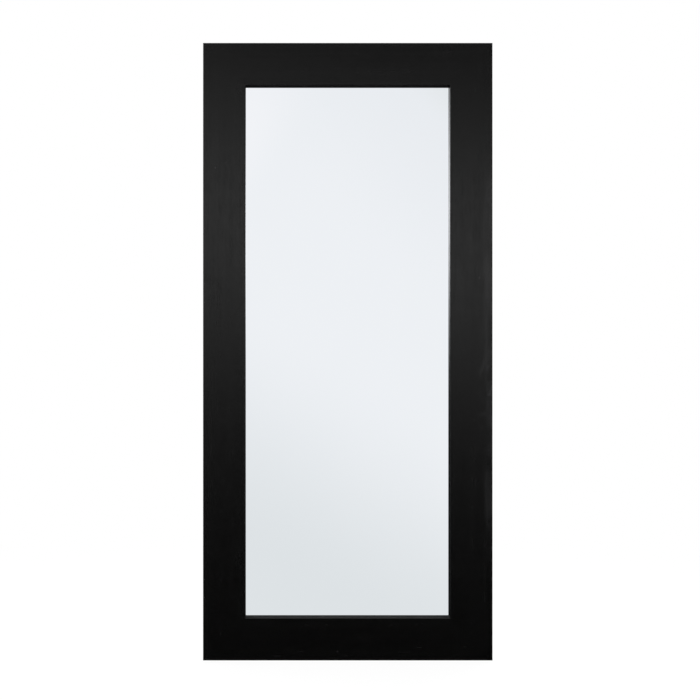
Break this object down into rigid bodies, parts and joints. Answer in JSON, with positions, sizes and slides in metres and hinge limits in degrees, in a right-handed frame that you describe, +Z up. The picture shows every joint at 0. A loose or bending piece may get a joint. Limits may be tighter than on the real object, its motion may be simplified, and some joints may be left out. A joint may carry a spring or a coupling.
{
  "type": "framed mirror",
  "caption": "Full-length rectangular wall mirror in a wide, flat, mitred satin black frame, with ring hangers and wall bumpers behind.",
  "frame": {"origin": "On the wall plane, behind the middle of the frame: the plane that the four bumpers' faces touch", "axes": "+Z up along the mirror's long side, +Y into the wall, -Y out of the front, +X to the right of someone who looks at the glass"},
  "size_m": [0.75, 0.038, 1.6],
  "materials": {
    "satin_black_wood": "satin",
    "silvered_glass": "polished",
    "card": "matte",
    "hardboard": "matte",
    "black_rubber": "matte",
    "zinc_plated_steel": "satin",
    "zinc_plated_wire": "satin",
    "zinc_plated_screws": "satin",
    "bright_steel": "satin"
  },
  "bodies": {
    "mirror": {"left_stile": "satin_black_wood", "right_stile": "satin_black_wood", "top_rail": "satin_black_wood", "bottom_rail": "satin_black_wood", "mirror_glass": "silvered_glass", "packing_sheet": "card", "backing_board": "hardboard", "edge_pad_bottom_rail_left": "black_rubber", "edge_pad_bottom_rail_right": "black_rubber", "edge_pad_top_rail_left": "black_rubber", "edge_pad_top_rail_right": "black_rubber", "edge_pad_left_stile_bottom": "black_rubber", "edge_pad_left_stile_top": "black_rubber", "edge_pad_right_stile_bottom": "black_rubber", "edge_pad_right_stile_top": "black_rubber", "bumper_bottom_left": "black_rubber", "bumper_top_left": "black_rubber", "bumper_top_right": "black_rubber", "bumper_bottom_right": "black_rubber", "corner_plate_bottom_left": "zinc_plated_steel", "corner_plate_top_left": "zinc_plated_steel", "corner_plate_top_right": "zinc_plated_steel", "corner_plate_bottom_right": "zinc_plated_steel", "hanger_strap_left": "zinc_plated_steel", "hanger_strap_right": "zinc_plated_steel", "hanger_strap_side_upper": "zinc_plated_steel", "hanger_strap_side_lower": "zinc_plated_steel", "backing_screws": "zinc_plated_screws", "plate_screws": "zinc_plated_screws", "hanger_screws": "zinc_plated_screws", "bumper_screws": "zinc_plated_screws", "mitre_nails": "bright_steel"},
    "ring_left": {"hanger_ring_left": "zinc_plated_wire"},
    "ring_right": {"hanger_ring_right": "zinc_plated_wire"},
    "ring_side_upper": {"hanger_ring_side_upper": "zinc_plated_wire"},
    "ring_side_lower": {"hanger_ring_side_lower": "zinc_plated_wire"}
  },
  "joints": [
    {"name": "ring_swing_left", "type": "hinge", "parent": "mirror", "child": "ring_left", "pos_m": [-0.332, -0.0048, 0.45], "axis": [1, 0, 0], "range_deg": [0, 180]},
    {"name": "ring_swing_right", "type": "hinge", "parent": "mirror", "child": "ring_right", "pos_m": [0.332, -0.0048, 0.45], "axis": [1, 0, 0], "range_deg": [0, 180]},
    {"name": "ring_swing_side_upper", "type": "hinge", "parent": "mirror", "child": "ring_side_upper", "pos_m": [-0.352, -0.0048, 0.56], "axis": [0, 0, 1], "range_deg": [0, 180]},
    {"name": "ring_swing_side_lower", "type": "hinge", "parent": "mirror", "child": "ring_side_lower", "pos_m": [-0.352, -0.0048, -0.56], "axis": [0, 0, 1], "range_deg": [0, 180]}
  ]
}
